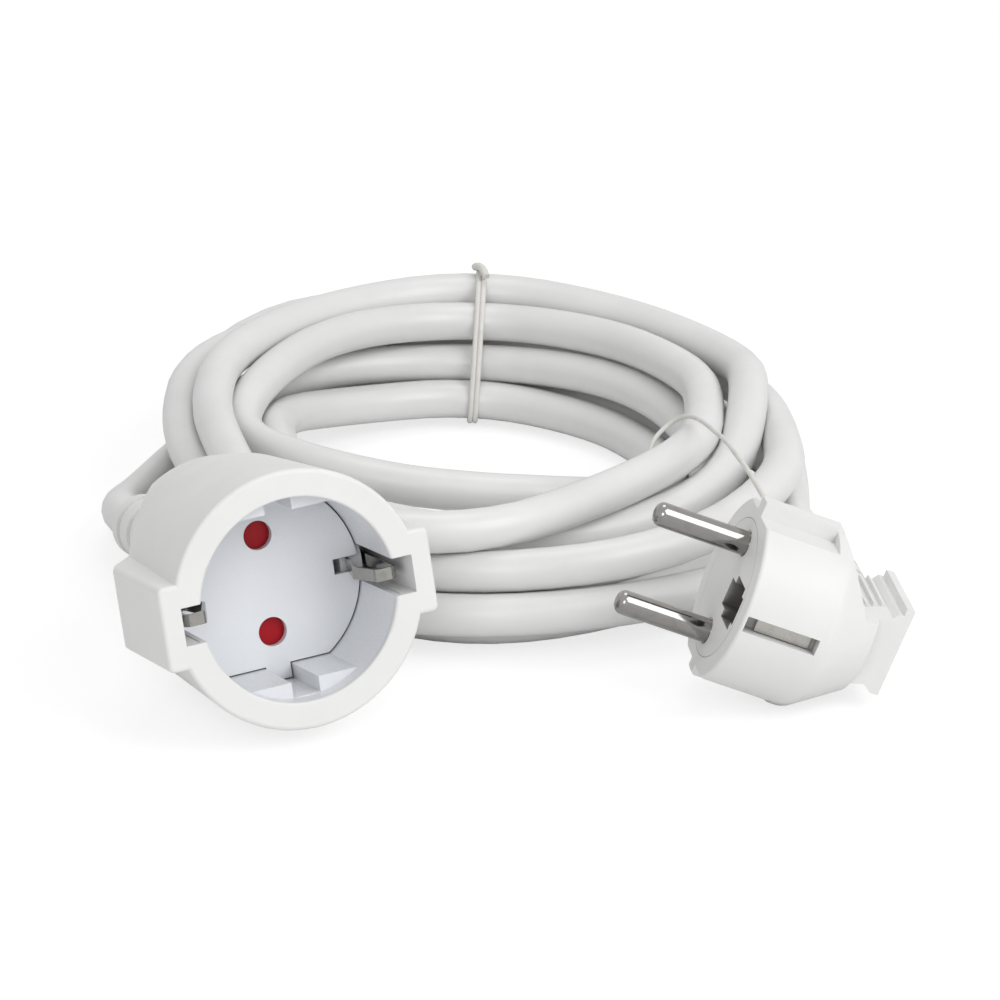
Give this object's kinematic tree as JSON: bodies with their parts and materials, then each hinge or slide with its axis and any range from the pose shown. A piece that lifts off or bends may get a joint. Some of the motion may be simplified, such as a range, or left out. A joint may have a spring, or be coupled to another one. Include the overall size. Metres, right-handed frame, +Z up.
{
  "type": "extension cord",
  "caption": "Short extension cord with a shuttered trailing socket, an angled two-pin plug with earth strips, and the cord tied in an oval coil.",
  "frame": {"origin": "on the floor, at the middle of the box round the coupler and the plug without the cord", "axes": "+Z up; +X from the coupler towards the plug; -Y towards the viewer, where the coupler's mouth looks; the coil lies on the +Y side"},
  "size_m": [0.1631, 0.218, 0.0531],
  "materials": {
    "white_overmould": "matt",
    "white_insert": "satin",
    "shutter_red": "satin",
    "nickel": "bright nickel plate",
    "brass": "drawn",
    "spring_steel": "drawn wire",
    "core_brown": "satin",
    "core_blue": "satin",
    "core_green_yellow": "satin",
    "cord_sheath": "satin",
    "tie_white": "satin"
  },
  "bodies": {
    "cord_set": {"coupler_body": "white_overmould", "coupler_cup": "white_insert", "face_plate": "white_insert", "live_sleeve": "brass", "neutral_sleeve": "brass", "earth_clips": "nickel", "coupler_live_core": "core_brown", "coupler_neutral_core": "core_blue", "coupler_earth_core": "core_green_yellow", "plug_body": "white_overmould", "pin_bridge": "white_insert", "live_pin": "nickel", "neutral_pin": "nickel", "plug_earth_strips": "nickel", "earth_socket": "brass", "plug_live_core": "core_brown", "plug_neutral_core": "core_blue", "plug_earth_core": "core_green_yellow", "coupler_lead": "cord_sheath", "cord_coil": "cord_sheath", "plug_lead": "cord_sheath", "coil_tie": "tie_white", "plug_tie": "tie_white"},
    "shutter": {"shutter": "shutter_red", "shutter_spring": "spring_steel"}
  },
  "joints": [
    {"name": "shutter_turn", "type": "hinge", "parent": "cord_set", "child": "shutter", "pos_m": [-0.04565, -0.01763, 0.02495], "axis": [0.3864, -0.9058, 0.1736], "range_deg": [0, 40], "stiffness_Nm_per_rad": 0.01, "springref_deg": -20.05}
  ]
}
